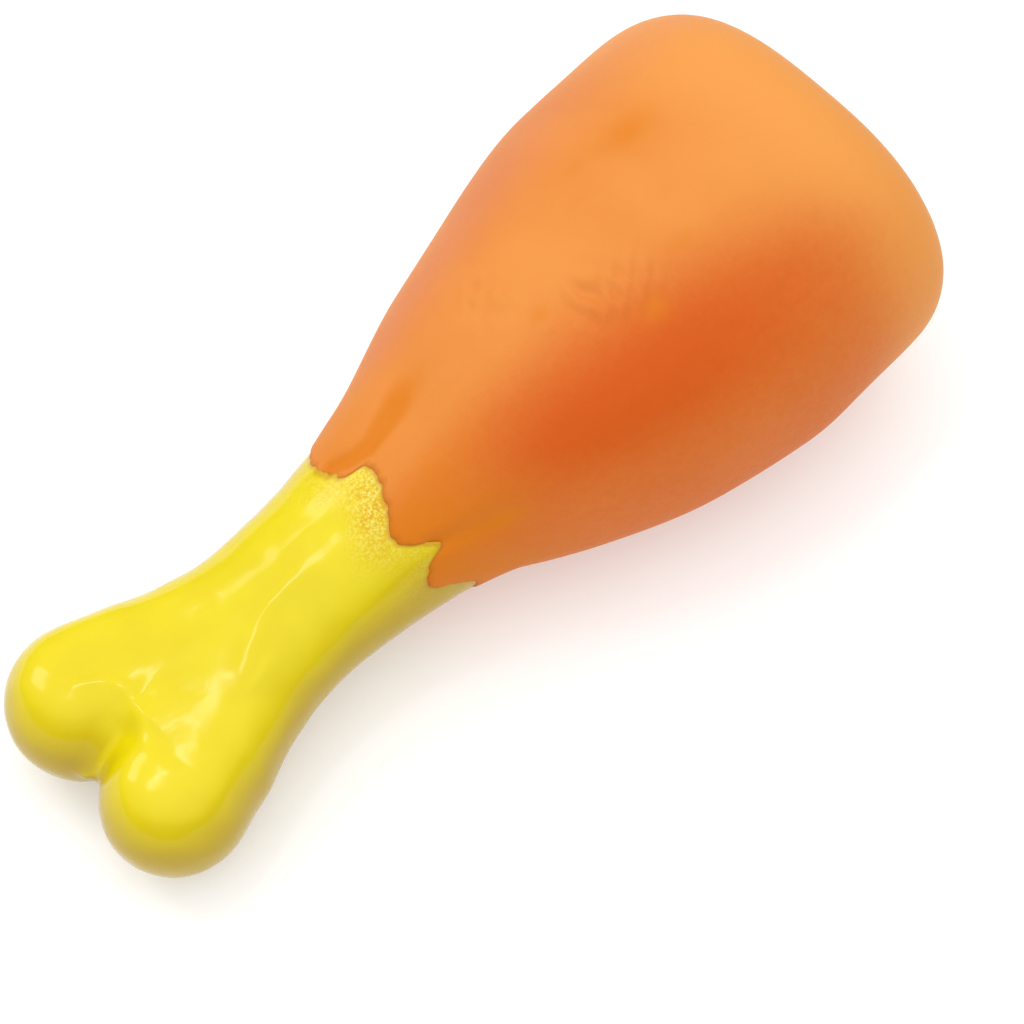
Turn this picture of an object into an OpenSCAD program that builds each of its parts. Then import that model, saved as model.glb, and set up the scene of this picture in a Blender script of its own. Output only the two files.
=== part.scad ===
// Squeaky chicken drumstick: a hollow soft vinyl toy that lies on a table.
// X runs from the bone's end to the big end, Z is up, and the toy rests on Z = 0.

/* [Skin] */
// Overall length, from the bone's end to the big end
length = 125; // [115:1:150]
// Thickness of the soft vinyl wall
wall = 1.8; // [1.4:0.1:2.2]
// How far the meat's edge stands above the bone beside it
step = 0.6; // [0.2:0.1:1.0]
// Scallops round the meat's edge
scallops = 6; // [3, 4, 6, 8]
// How far a scallop reaches down the bone
scallop_depth = 4; // [1:0.5:6]
// Depth of the creases that run up the meat from between the scallops
crease_depth = 0.8; // [0:0.1:0.9]

/* [Thumb zone] */
// Diameter of the piece of wall that a thumb pushes in
panel_d = 30; // [20:1:34]
// Gap between that piece and the wall round it
panel_gap = 0.3; // [0.2:0.05:0.5]

/* [Squeaker] */
// Diameter of the hole in the big end that the squeaker snaps into
bore_d = 16; // [14:0.5:17]
// Diameter of the squeaker's outer flange
flange_d = 19.8; // [19:0.1:20.4]
// Diameter of the air hole
air_d = 3; // [2:0.5:4]
// Length of the free blade of the reed
blade = 7; // [5:0.5:8]
// Thickness of the reed
reed_t = 0.15; // [0.1:0.05:0.25]
// Angle at which the reed's blade stands open
reed_open = 3; // [1:0.5:4]

/* [Hidden] */

meat_orange = "#F59A48";
bone_yellow = "#F6DF2E";
squeaker_white = "#F1F1EC";
reed_amber = "#D9B36A";

// The cross-sections that the skin passes through, on a toy 125 mm long:
// place along X, half width, height above the spine, depth below it, spine's height.
SECTIONS = [
    [-53, 13.8, 9.4, 9.2, 10.0],
    [-45, 13.8, 9.4, 9.0, 10.3],
    [-32, 11.1, 9.5, 9.1, 11.5],
    [-20, 11.4, 10.3, 10.0, 13.2],
    [-8, 13.9, 13.1, 12.3, 15.6],
    [6, 19.7, 17.2, 16.3, 18.3],
    [22, 25.1, 20.2, 20.1, 20.1],
    [40, 27.8, 20.9, 21.0, 20.6],
];
SIZE = length / 125;
TAIL = SECTIONS[0][0] * SIZE;            // spine's end inside the knobs
NOSE = SECTIONS[len(SECTIONS) - 1][0] * SIZE;  // spine's end inside the big end

oval = 2.2;                     // exponent of the cross-sections: a touch squarer than an ellipse
nose_reach = length / 2 - NOSE; // from the spine's end to the end face
nose_square = [4.2, 3.4];       // exponents of the blunt big end: at its sides, and above and below
web_reach = 6.2 * SIZE;         // from the spine's end to the web between the knobs
knob_r = [9.1, 9.1, 10.0] * SIZE;
knob_at = [knob_r.x - length / 2, 8.9 * SIZE, knob_r.z - 0.2];
knob_blend = 3.5 * SIZE;        // width of the soft fillet between knobs and bone

edge_x = -12.6 * SIZE;          // where the notches between the scallops end
notch_angle = 82.5;             // one notch is here, seen along X from the +Y side up
crease_width = 8;               // degrees to each side
crease_length = 15 * SIZE;
step_length = 14 * SIZE;        // the bone rises back to its full size over this length
lip = 0.3;                      // the meat's edge itself swells a little
lip_length = 5 * SIZE;

columns = 48;                   // points round the skin
turn = 360 / columns;

axis_z = SECTIONS[len(SECTIONS) - 1][4] * SIZE;  // height of the squeaker's axis
flange_t = 1.2;                 // the squeaker's flange lies flush in a recess this deep
flange_gap = 0.3;               // between the flange and the recess round it
chamfer = 0.5;                  // on the flange's outer edge
countersink = 0.9;              // width and depth of the air hole's bevel
seat_x = length / 2 - flange_t;
collar = 2.6;                   // length of the bore in the thickened wall
collar_wall = 4;                // how far that wall reaches beyond the bore
barb_out = 0.8;                 // the snap rim stands out this far behind the collar
barb_in = 0.6;                  // and tapers to this far inside the bore
barb_length = 1.6;
skirt_wall = 1.6;
plug_r = 2.95;                  // the reed's two half plugs, in a socket of socket_r
socket_r = 3.0;
socket_wall = 1.2;
clamp = 4;                      // length of the reed between the half plugs
plate_x = seat_x - 1;           // inner face of the squeaker's plate
plug_x = plate_x - 0.6;         // outer end of the half plugs
clamp_x = plug_x - clamp;       // line where the blade leaves the clamp
tip_x = clamp_x - blade;
board_x = tip_x - 1;            // inner end of the half plug under the reed
reed_w = 3.6;
trough = [2.2, 1.6];            // width and depth of the air channel under the reed

panel_x = 17 * SIZE;            // middle of the thumb zone

$fn = 96;
eps = 0.01;
big = 2 * length;

// --- The skin's surface ---------------------------------------------------

function slope(i) = (SECTIONS[i + 1] - SECTIONS[i]) / (SECTIONS[i + 1][0] - SECTIONS[i][0]);
LAST = len(SECTIONS) - 1;
TANGENTS = [for (i = [0:LAST])
    i == 0 ? slope(0) :
    i == LAST ? slope(LAST - 1) :
    let (before = SECTIONS[i][0] - SECTIONS[i - 1][0], after = SECTIONS[i + 1][0] - SECTIONS[i][0])
    (slope(i - 1) * after + slope(i) * before) / (before + after)];

function span(u, i = 0) = i == LAST - 1 || u < SECTIONS[i + 1][0] ? i : span(u, i + 1);

// The cross-section at x, by a smooth curve through SECTIONS
function section(x) =
    let (u = x / SIZE, i = span(u), h = SECTIONS[i + 1][0] - SECTIONS[i][0], t = (u - SECTIONS[i][0]) / h)
    SIZE * (SECTIONS[i] * (1 + 2 * t) * pow(1 - t, 2) + SECTIONS[i + 1] * (3 - 2 * t) * t * t
        + h * (TANGENTS[i] * t * pow(1 - t, 2) - TANGENTS[i + 1] * t * t * (1 - t)));

// Distance from the spine to the body's surface along d
function body_reach(s, d) =
    let (side = d.y * d.y / max(d.y * d.y + d.z * d.z, eps * eps),
         square = d.x > 0 ? nose_square[1] + (nose_square[0] - nose_square[1]) * side : 2,
         end = d.x > 0 ? nose_reach : web_reach,
         across = pow(abs(d.y) / s[1], oval) + pow(abs(d.z) / (d.z > 0 ? s[2] : s[3]), oval))
    pow(pow(abs(d.x) / end, square) + pow(across, square / oval), -1 / square);

// Distance from p to the far side of a knob along d
function knob_reach(p, d) =
    let (centre = [knob_at.x, d.y < 0 ? -knob_at.y : knob_at.y, knob_at.z],
         o = [for (k = [0:2]) (p[k] - centre[k]) / knob_r[k]],
         v = [for (k = [0:2]) d[k] / knob_r[k]],
         a = v * v, b = o * v, inside = b * b - a * (o * o - 1))
    inside > 0 ? (sqrt(inside) - b) / a : 0;

function soft_max(a, b, width) =
    let (h = max(width - abs(a - b), 0) / width) max(a, b) + h * h * width / 4;

// Point of the skin seen from the spine at x along d, moved inwards by inset
function skin_point(x, d, inset) =
    let (s = section(x), p = [x, 0, s[4]])
    p + d * (soft_max(body_reach(s, d), knob_reach(p, d), knob_blend) - inset);

function fade(t) = t >= 1 ? 0 : pow(1 - max(t, 0), 2);

// Angle from the nearest notch
function off_notch(a) =
    let (pitch = 360 / scallops)
    abs(((a - notch_angle + 540) % pitch + pitch / 2) % pitch - pitch / 2);

// The meat's scalloped edge
function edge(a) = edge_x - scallop_depth * pow(abs(sin(scallops * (a - notch_angle) / 2)), 0.7);

function bone_inset(x, a) = step * fade((edge(a) - x) / step_length);
function meat_inset(x, a) =
    crease_depth * exp(-pow(off_notch(a) / crease_width, 2)) * fade((x - edge(a)) / crease_length)
    - lip * fade((x - edge(a)) / lip_length);

// Rings of points round the spine; depth 0 is the outside and wall is the inside
function bone_ring(t, depth) = [for (j = [0:columns - 1])
    let (a = j * turn, x = TAIL + (edge(a) - TAIL) * t)
    skin_point(x, [0, cos(a), sin(a)], max(depth, bone_inset(x, a)))];
function meat_ring(t, depth) = [for (j = [0:columns - 1])
    let (a = j * turn, x = edge(a) + (NOSE - edge(a)) * t)
    skin_point(x, [0, cos(a), sin(a)], depth == 0 ? meat_inset(x, a) : depth)];
function end_ring(x, f, depth) = [for (j = [0:columns - 1])
    skin_point(x, [cos(f), sin(f) * cos(j * turn), sin(f) * sin(j * turn)], depth)];

// Closed solid through a row of rings, from one pole to the other.
// The rings run along +X on the outside, or along -X when backwards is true.
module loft(first, rings, last, backwards = false) {
    n = columns;
    points = concat([first], [for (r = rings) each r], [last]);
    end = len(points) - 1;
    top = end - n;
    faces = concat(
        [for (j = [0:n - 1]) [0, 1 + j, 1 + (j + 1) % n]],
        [for (i = [0:len(rings) - 2], j = [0:n - 1])
            let (a = 1 + i * n + j, b = 1 + i * n + (j + 1) % n)
            each [[a, a + n, b + n], [a, b + n, b]]],
        [for (j = [0:n - 1]) [end, top + (j + 1) % n, top + j]]);
    polyhedron(points, backwards ? [for (f = faces) [f[2], f[1], f[0]]] : faces, convexity = 6);
}

// --- Places ---------------------------------------------------------------

// Turns a solid made along Z so that it lies on the squeaker's axis
module on_squeaker_axis() { translate([0, 0, axis_z]) rotate([0, 90, 0]) children(); }

module tube_x(r, from, to) { on_squeaker_axis() translate([0, 0, from]) cylinder(r = r, h = to - from); }

// Everything below the table
module below_table() { translate([-big / 2, -big / 2, -big]) cube(big); }

module thumb_prism(d) { translate([panel_x, 0, axis_z]) cylinder(d = d, h = big); }

// --- Skin -----------------------------------------------------------------

module meat_shell() {
    outer_steps = 20;
    inner_steps = 10;
    loft(skin_point(NOSE, [1, 0, 0], 0), concat(
        [for (f = [10, 20, 30, 38, 44, 50, 56, 63, 71, 80]) end_ring(NOSE, f, 0)],
        [for (i = [0:outer_steps]) meat_ring(1 - i / outer_steps, 0)],
        [meat_ring(0, step)],
        [for (i = [0:inner_steps]) meat_ring(i / inner_steps, wall)],
        [for (f = [75, 60, 50, 40, 25]) end_ring(NOSE, f, wall)]),
        skin_point(NOSE, [1, 0, 0], wall), backwards = true);
}

// The meat's whole wall with the squeaker's seat in it, before the thumb zone is parted off
module meat_wall() {
    difference() {
        union() {
            meat_shell();
            tube_x(bore_d / 2 + collar_wall, seat_x - collar, seat_x + eps);
        }
        tube_x(bore_d / 2, seat_x - collar - 1, big);
        tube_x(flange_d / 2 + flange_gap, seat_x, big);
        below_table();
    }
}

module meat_skin() {
    color(meat_orange) difference() {
        meat_wall();
        thumb_prism(panel_d + 2 * panel_gap);
    }
}

module squeeze_panel() {
    color(meat_orange) intersection() {
        meat_wall();
        thumb_prism(panel_d);
    }
}

module bone_skin() {
    outer_steps = 17;
    inner_steps = 9;
    color(bone_yellow) difference() {
        loft(skin_point(TAIL, [-1, 0, 0], 0), concat(
            [for (f = [15:15:75]) end_ring(TAIL, 180 - f, 0)],
            [for (i = [0:outer_steps]) bone_ring(i / outer_steps, 0)],
            [for (i = [0:inner_steps]) bone_ring(1 - i / inner_steps, wall)],
            [for (f = [65, 45, 22]) end_ring(TAIL, 180 - f, wall)]),
            skin_point(TAIL, [-1, 0, 0], wall));
        below_table();
    }
}

// --- Squeaker -------------------------------------------------------------

// Disc with a snap rim that grips the wall, and a socket for the reed
module squeaker_disc() {
    face = seat_x + flange_t;
    barb = seat_x - collar;
    rim = bore_d / 2;
    color(squeaker_white) on_squeaker_axis() rotate_extrude() polygon([
        [air_d / 2, plate_x],
        [air_d / 2, face - countersink],
        [air_d / 2 + countersink, face],
        [flange_d / 2 - chamfer, face],
        [flange_d / 2, face - chamfer],
        [flange_d / 2, seat_x],
        [rim, seat_x],
        [rim, barb],
        [rim + barb_out, barb],
        [rim - barb_in, barb - barb_length],
        [rim - skirt_wall, barb - barb_length],
        [rim - skirt_wall, plate_x],
        [socket_r + socket_wall, plate_x],
        [socket_r + socket_wall, board_x],
        [socket_r, board_x],
        [socket_r, plate_x],
    ]);
}

// Half plug that the reed beats on, with an air channel that opens to the air hole
module reed_shallot() {
    color(squeaker_white) difference() {
        tube_x(plug_r, board_x, plug_x);
        translate([board_x - 1, -plug_r, axis_z - reed_t / 2])
            cube([plug_x - board_x + 2, 2 * plug_r, 2 * plug_r]);
        translate([tip_x + 1, -trough.x / 2, axis_z - trough.y])
            cube([big, trough.x, 2 * trough.y]);
    }
}

// Half plug that clamps the reed's root
module reed_wedge() {
    color(squeaker_white) difference() {
        tube_x(plug_r, clamp_x, plug_x);
        translate([clamp_x - 1, -plug_r, axis_z + reed_t / 2 - 2 * plug_r])
            cube([clamp + 2, 2 * plug_r, 2 * plug_r]);
    }
}

// Thin strip: a flat root in the clamp and a blade that stands open
module reed_strip() {
    rise = blade * sin(reed_open);
    back = clamp_x - blade * cos(reed_open);
    low = -reed_t / 2;
    color(reed_amber) translate([0, reed_w / 2, axis_z])
        rotate([90, 0, 0]) linear_extrude(reed_w) polygon([
        [plug_x, low],
        [plug_x, low + reed_t],
        [clamp_x, low + reed_t],
        [back, low + reed_t + rise],
        [back, low + rise],
        [clamp_x, low],
    ]);
}

meat_skin();
squeeze_panel();
bone_skin();
squeaker_disc();
reed_shallot();
reed_wedge();
reed_strip();
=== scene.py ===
import math

import bpy
import numpy as np
from mathutils import Matrix, Vector


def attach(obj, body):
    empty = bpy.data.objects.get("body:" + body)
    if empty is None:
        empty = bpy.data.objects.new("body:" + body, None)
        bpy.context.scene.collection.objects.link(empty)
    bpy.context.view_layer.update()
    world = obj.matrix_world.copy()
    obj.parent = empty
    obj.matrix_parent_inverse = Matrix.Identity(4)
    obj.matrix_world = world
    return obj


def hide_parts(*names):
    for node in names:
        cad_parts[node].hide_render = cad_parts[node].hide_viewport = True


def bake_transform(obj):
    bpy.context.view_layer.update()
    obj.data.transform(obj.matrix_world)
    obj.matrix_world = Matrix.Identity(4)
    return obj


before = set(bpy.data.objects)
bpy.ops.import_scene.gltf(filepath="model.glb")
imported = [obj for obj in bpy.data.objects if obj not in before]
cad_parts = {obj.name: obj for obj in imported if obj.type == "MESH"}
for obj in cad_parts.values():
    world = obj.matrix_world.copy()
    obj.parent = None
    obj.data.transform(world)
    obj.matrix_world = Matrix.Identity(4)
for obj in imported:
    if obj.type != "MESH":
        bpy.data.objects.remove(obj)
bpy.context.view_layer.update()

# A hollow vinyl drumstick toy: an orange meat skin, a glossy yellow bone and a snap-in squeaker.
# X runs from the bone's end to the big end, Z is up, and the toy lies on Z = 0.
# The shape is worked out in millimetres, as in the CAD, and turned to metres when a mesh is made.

MM = 0.001

# --- The skin's shape, in millimetres -------------------------------------

# The cross-sections that the skin passes through:
# place along X, half width, height above the spine, depth below it, spine's height, squareness.
SECTIONS = np.array([
    [-51, 12.6, 9.3, 9.2, 10.0, 2.8],
    [-44, 13.5, 9.4, 9.0, 10.3, 2.5],
    [-32, 11.1, 9.5, 9.1, 11.5, 2.2],
    [-20, 11.4, 10.3, 10.0, 13.2, 2.2],
    [-8, 13.9, 13.1, 12.3, 15.6, 2.2],
    [6, 19.7, 17.2, 16.3, 18.3, 2.2],
    [22, 25.1, 20.2, 20.1, 20.1, 2.2],
    [40, 27.8, 20.9, 21.0, 20.6, 2.2],
])
TAIL, NOSE = SECTIONS[0, 0], SECTIONS[-1, 0]
AXIS_Z = SECTIONS[-1, 4]
HALF_LENGTH = 62.5
NOSE_SQUARE = (4.9, 3.9)
# The bone's end: a web that tapers off between two knobs.
WEB_REACH = 8.3
WEB_SQUARE = 0.95
# Each knob: centre, radii. The far one is a little larger, as on the real toy.
KNOBS = (
    ((-53.5, 7.9, 9.6), (9.4, 9.3, 10.1)),
    ((-53.5, -9.4, 9.6), (9.1, 8.8, 10.0)),
)
KNOB_CREASE = 1.2     # rounding of the crease between the knobs
KNOB_BLEND = (2.5, 7.0)    # rounding between knobs and web, and between knobs and shaft
KNOB_BLEND_AT = (-54, -44)    # places along X of the two
# The bone's end is flattened softly at this height. The flat falls off to its sides and rises along X.
TOP_FLAT, TOP_FLAT_BLEND = 18.7, 1.5
TOP_FALL = 0.003
TOP_RISE, TOP_RISE_FROM = 0.008, -50
# The toy isn't quite straight: sideways offset at places along X.
BEND = np.array([
    [-54, -0.1], [-40, -0.6], [-24, -0.2], [-10, -0.2], [16, -1.3], [34, -0.6], [52, 0.5], [61, 0],
])
WALL = 1.8
STEP = 0.32           # the meat's edge stands this far above the bone
TUCK = 0.4            # the bone runs on under the meat's edge
COLUMNS = 360         # points in each ring
REACH, HALVINGS = (1.0, 40.0), 24    # distances from the spine that the skin is looked for between

# The meat's edge: angle round the toy in degrees, and place along X.
EDGE = np.array([
    [2, -14.9], [12, -13.4], [20, -13.2], [33, -15.3], [50, -16.7], [64, -16.6], [74, -15.3],
    [79.5, -12.9], [88, -12.7], [97, -13.6], [106, -14.3], [116, -15.6], [127, -16.5], [135, -14.6],
    [141, -12.9], [145.5, -12.4], [149, -13.7], [157, -15.3], [166, -15.2], [174, -12.9],
    [181, -10.4], [190, -9.2], [206, -9.0], [214, -10.6], [222, -13.6], [233, -15.8], [245, -15.6],
    [255, -13.4], [262, -12.3], [270, -13.2], [283, -15.6], [298, -16.4], [312, -15.4],
    [322, -12.9], [327, -12.4], [334, -13.5], [346, -15.2],
])
EDGE_SOFTNESS = 3     # its corners are rounded over this many degrees on each side
# Small ripples on it: size, how many round the toy, and phase.
EDGE_RIPPLES = ((0.14, 23, 1), (0.1, 37, 2), (0.07, 61, 0))
NECK_R = 13.0         # radius that turns angles into millimetres near the edge
# Creases that run up the meat from between the scallops: depth, half width, then points of angle and X.
CREASES = (
    (0.75, 1.8, ((58, -15.6), (68, -13.6), (73, -11.2), (71.5, -8.5), (69, -4.5), (69, -0.4), (71, 3.5))),
    (0.6, 1.4, ((141, -13.0), (144, -11.0), (147, -8.5), (150, -6.0), (152, -2.5), (153, 2.0))),
    (0.5, 1.5, ((205, -9.4), (205, -6.5), (206, -3.0), (206, 1.0))),
    (0.7, 1.5, ((262, -12.4), (259, -9.5), (256, -6.0), (254, -1.0))),
    (0.7, 1.5, ((326, -12.6), (329, -9.5), (332, -5.5), (333, -1.0))),
    (0.4, 1.4, ((16, -13.2), (11, -10.5), (8, -7.0), (7, -3.0))),
)
CREASE_START_WIDTH, CREASE_WIDENING = 0.8, 0.9
CREASE_FADE, CREASE_FADE_POWER = 2.2, 1.5    # how a crease dies out towards its end
CREASE_SHALLOWING = 0.45

# Shallow dents in the meat: centre, sizes along X, Y and Z, depth, and how thin the paint is in them.
DENTS = (
    ((36, 9, 40.5), (4.2, 2.5, 5), 0.45, 1.0),
    ((11.4, -1.8, 37.4), (1.2, 1.0, 3), 0.08, 0.7),
    ((21.5, -10.8, 38.8), (1.9, 1.5, 3), 0.1, 0.9),
    ((29.5, -7.3, 40), (1.7, 0.9, 3), 0.07, 0.45),
    ((28, 9.5, 38.5), (1.9, 1.2, 3), 0.07, 0.4),
)
# Patches of fine wrinkles high on the meat.
WRINKLES = ((15.5, -4.5, 37), (19, -5.5, 38.5), (22.5, -6, 39.5), (9, 5, 36))
WRINKLE_SIZE = (2.6, 3.4, 5)
WRINKLE_DEPTH, WRINKLE_LENGTH, WRINKLE_SEED = 0.34, 2.4, 3
WRINKLE_STRETCH = (1.0, 1.0, 0.4)
# Small pits on the near flank, and a broad unevenness: depth, wavelength and seed.
PITS, BROAD = (0.05, 3.4, 9), (0.1, 21, 4)
PITS_ANGLE, PITS_WIDTH, PITS_FROM, PITS_GROW = 150, 25, 8, 10
CALM_LENGTH = 8       # the meat gets smooth over this length before the big end
BONE_LUMPS = ((0.05, 9.5, 21), (0.02, 4.2, 22))    # depth, wavelength and seed
WAVES, WAVE_TURNS, WAVE_SCALE = 9, (0.7, 1.4), 3.2    # how many waves are added up, and how
RIM_ROUNDING, RIM_DROP = 0.6, 0.24    # width and depth of the rounding at the meat's edge
# The meat swells a little behind its edge.
SWELL_BEHIND, SWELL_WIDTH, SWELL_HEIGHT = 2.2, 2.6, 0.12
SUNK_LENGTH = 14      # the bone is sunk over this length before the meat's edge
NOTCH_HOLLOW = ((-50.5, 0.2, 19.4), (3.0, 1.8, 3), 0.5)    # a hollow where the notch runs out
# Soft ridges round the bone's flat top: height, half width, then points of X and Y.
RIDGES = (
    (0.22, 0.9, ((-55.8, 12.5), (-55.5, 9.0), (-54.8, 6.3), (-51.8, 4.2), (-50.6, 1.3), (-51.9, -2.4),
                 (-53.8, -5.6), (-54.3, -8.8), (-53.2, -12.2))),
    (0.19, 1.3, ((-23.5, -1.4), (-27.0, -2.0), (-31.3, -2.0), (-34.5, -2.9), (-37.3, -4.6), (-40.1, -6.9),
                 (-43.5, -8.6))),
    (0.14, 0.8, ((-35.0, -6.8), (-38.0, -7.6), (-41.5, -8.2))),
)
RIDGE_ENDS = 0.3      # share of a ridge's length that its ends taper over
RIDGE_HEIGHTS = (13, 16)    # ridges are only on the upper side, above these heights


def fade(t):
    """1 at t = 0, falling to 0 at t = 1, where it levels off."""
    return (1 - np.clip(t, 0, 1)) ** 2


def bell(t):
    """1 at t = 0, falling off on both sides."""
    return np.exp(-t * t)


def ease(value, low, high):
    """0 at low to 1 at high, smoothly."""
    t = np.clip((value - low) / (high - low), 0, 1)
    return t * t * (3 - 2 * t)


def soft_min(a, b, width):
    """The smaller of a and b, rounded where they are nearly the same."""
    h = np.maximum(width - np.abs(a - b), 0) / width
    return np.minimum(a, b) - h * h * width / 4


def section(x):
    """The cross-section at x, by a smooth curve through SECTIONS."""
    at = SECTIONS[:, 0]
    gap = np.diff(at)
    slope = np.diff(SECTIONS, axis=0) / gap[:, None]
    inner = (slope[:-1] * gap[1:, None] + slope[1:] * gap[:-1, None]) / (gap[1:] + gap[:-1])[:, None]
    tangent = np.vstack([slope[:1], inner, 0 * slope[-1:]])
    i = np.clip(np.searchsorted(at, x, side="right") - 1, 0, len(at) - 2)
    t = ((x - at[i]) / gap[i])[..., None]
    h = gap[i][..., None]
    return (SECTIONS[i] * (1 + 2 * t) * (1 - t) ** 2 + SECTIONS[i + 1] * (3 - 2 * t) * t * t
            + h * (tangent[i] * t * (1 - t) ** 2 - tangent[i + 1] * t * t * (1 - t)))


def bend(x):
    """Sideways offset of the skin at x, easing from one place in BEND to the next."""
    i = np.clip(np.searchsorted(BEND[:, 0], x, side="right") - 1, 0, len(BEND) - 2)
    return BEND[i, 1] + (BEND[i + 1, 1] - BEND[i, 1]) * ease(x, BEND[i, 0], BEND[i + 1, 0])


def outside_body(p):
    """Rough distance of points outside the body and the web."""
    s = section(np.clip(p[..., 0], TAIL, NOSE))
    v = np.stack([p[..., 0] - np.clip(p[..., 0], TAIL, NOSE), p[..., 1], p[..., 2] - s[..., 4]], axis=-1)
    oval = s[..., 5]
    across = (np.abs(v[..., 1]) / s[..., 1]) ** oval
    across = across + (np.abs(v[..., 2]) / np.where(v[..., 2] > 0, s[..., 2], s[..., 3])) ** oval
    side = v[..., 1] ** 2 / np.maximum(v[..., 1] ** 2 + v[..., 2] ** 2, 1e-9)
    forward = v[..., 0] > 0
    square = np.where(forward, NOSE_SQUARE[1] + (NOSE_SQUARE[0] - NOSE_SQUARE[1]) * side, WEB_SQUARE)
    end = np.where(forward, HALF_LENGTH - NOSE, WEB_REACH)
    share = ((np.abs(v[..., 0]) / end) ** square + across ** (square / oval)) ** (1 / square)
    return np.linalg.norm(v, axis=-1) * (1 - 1 / np.maximum(share, 1e-3))


def outside_knob(p, knob):
    """Rough distance of points outside a knob."""
    centre, radii = (np.array(v) for v in knob)
    v = p - centre
    share = np.linalg.norm(v / radii, axis=-1)
    return np.linalg.norm(v, axis=-1) * (1 - 1 / np.maximum(share, 1e-3))


def outside_skin(p):
    """Rough distance of points outside the whole skin: 0 on it."""
    body = outside_body(p)
    knobs = soft_min(outside_knob(p, KNOBS[0]), outside_knob(p, KNOBS[1]), KNOB_CREASE)
    x = p[..., 0]
    blend = np.interp(x, KNOB_BLEND_AT, KNOB_BLEND)
    top = TOP_FLAT - TOP_FALL * p[..., 1] ** 2 + TOP_RISE * np.maximum(x - TOP_RISE_FROM, 0) ** 2
    return -soft_min(-soft_min(body, knobs, blend), top - p[..., 2], TOP_FLAT_BLEND)


def skin_points(x, d, inset):
    """Points of the skin seen from the spine at x along d, moved inwards by inset."""
    p = np.stack([x, 0 * x, section(x)[..., 4]], axis=-1)
    near, far = (np.full(x.shape, distance) for distance in REACH)
    for _ in range(HALVINGS):
        middle = (near + far) / 2
        inside = outside_skin(p + d * middle[..., None]) < 0
        near, far = np.where(inside, middle, near), np.where(inside, far, middle)
    out = p + d * (near - inset)[..., None]
    out[..., 1] += bend(out[..., 0])
    return out


def edge_at(angle):
    """Place along X of the meat's edge, with slightly rounded corners and small ripples."""
    around = np.concatenate([EDGE[:, 0] - 360, EDGE[:, 0], EDGE[:, 0] + 360])
    place = np.tile(EDGE[:, 1], 3)
    spread = np.linspace(-EDGE_SOFTNESS, EDGE_SOFTNESS, 7)
    weights = 1 + np.cos(spread * math.pi / (EDGE_SOFTNESS + 1))
    samples = [np.interp(angle % 360 + step, around, place) for step in spread]
    turn = np.radians(angle)
    ragged = sum(size * np.sin(count * turn + phase) for size, count, phase in EDGE_RIPPLES)
    return np.average(samples, axis=0, weights=weights) + ragged


def across_fan(angle, f):
    """Directions that fan out from the spine: f is 90 straight across, less towards +X, more towards -X."""
    f = np.radians(f)
    a = np.radians(angle)
    return np.stack([np.cos(f), np.sin(f) * np.cos(a), np.sin(f) * np.sin(a)], axis=-1)


def waves(points, wavelength, seed):
    """A smooth random field of about -1 to 1 with bumps of the given size."""
    rng = np.random.default_rng(seed)
    ways = rng.normal(size=(WAVES, 3))
    ways /= np.linalg.norm(ways, axis=1, keepdims=True)
    turns = rng.uniform(*WAVE_TURNS, WAVES)
    shift = rng.uniform(0, 2 * math.pi, WAVES)
    phase = points @ (ways * turns[:, None]).T * (2 * math.pi / wavelength) + shift
    return np.sin(phase).sum(-1) / WAVE_SCALE


def uneven(points, depth, wavelength, seed):
    return depth * waves(points, wavelength, seed)


def off_line(points, line):
    """Distance of points from a line of straight stretches, and how far along it they are, from 0 to 1."""
    line = np.array(line, float)
    lengths = np.linalg.norm(np.diff(line, axis=0), axis=1)
    start = np.concatenate([[0], np.cumsum(lengths)])
    best = np.full(points.shape[:-1], 1e9)
    along = np.zeros(points.shape[:-1])
    for i, length in enumerate(lengths):
        way = (line[i + 1] - line[i]) / length
        t = np.clip((points - line[i]) @ way, 0, length)
        gap = np.linalg.norm(points - line[i] - t[..., None] * way, axis=-1)
        nearer = gap < best
        best = np.where(nearer, gap, best)
        along = np.where(nearer, (start[i] + t) / start[-1], along)
    return best, along


def unrolled(angle, x):
    """Angle and X as a flat map in millimetres, near the meat's edge."""
    around = (np.asarray(angle) % 360) * math.pi / 180 * NECK_R
    return np.stack([around, np.asarray(x)], axis=-1)


def crease_mask(angle, x):
    """Depth of the creases, in millimetres, and a mask of them from 0 to 1."""
    depth = np.zeros_like(x)
    mask = np.zeros_like(x)
    for deep, half_width, line in CREASES:
        path = unrolled([a for a, _ in line], [place for _, place in line])
        gap, along = off_line(unrolled(angle, x), path)
        width = half_width * (CREASE_START_WIDTH + CREASE_WIDENING * along)
        part = bell(gap / width) * np.minimum(1, CREASE_FADE * (1 - along)) ** CREASE_FADE_POWER
        depth = np.maximum(depth, deep * part * (1 - CREASE_SHALLOWING * along))
        mask = np.maximum(mask, part)
    return depth, mask


def spot(points, centre, sizes):
    """1 at centre, falling off over sizes along X, Y and Z."""
    return bell(np.linalg.norm((points - np.array(centre)) / np.array(sizes), axis=-1))


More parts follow.
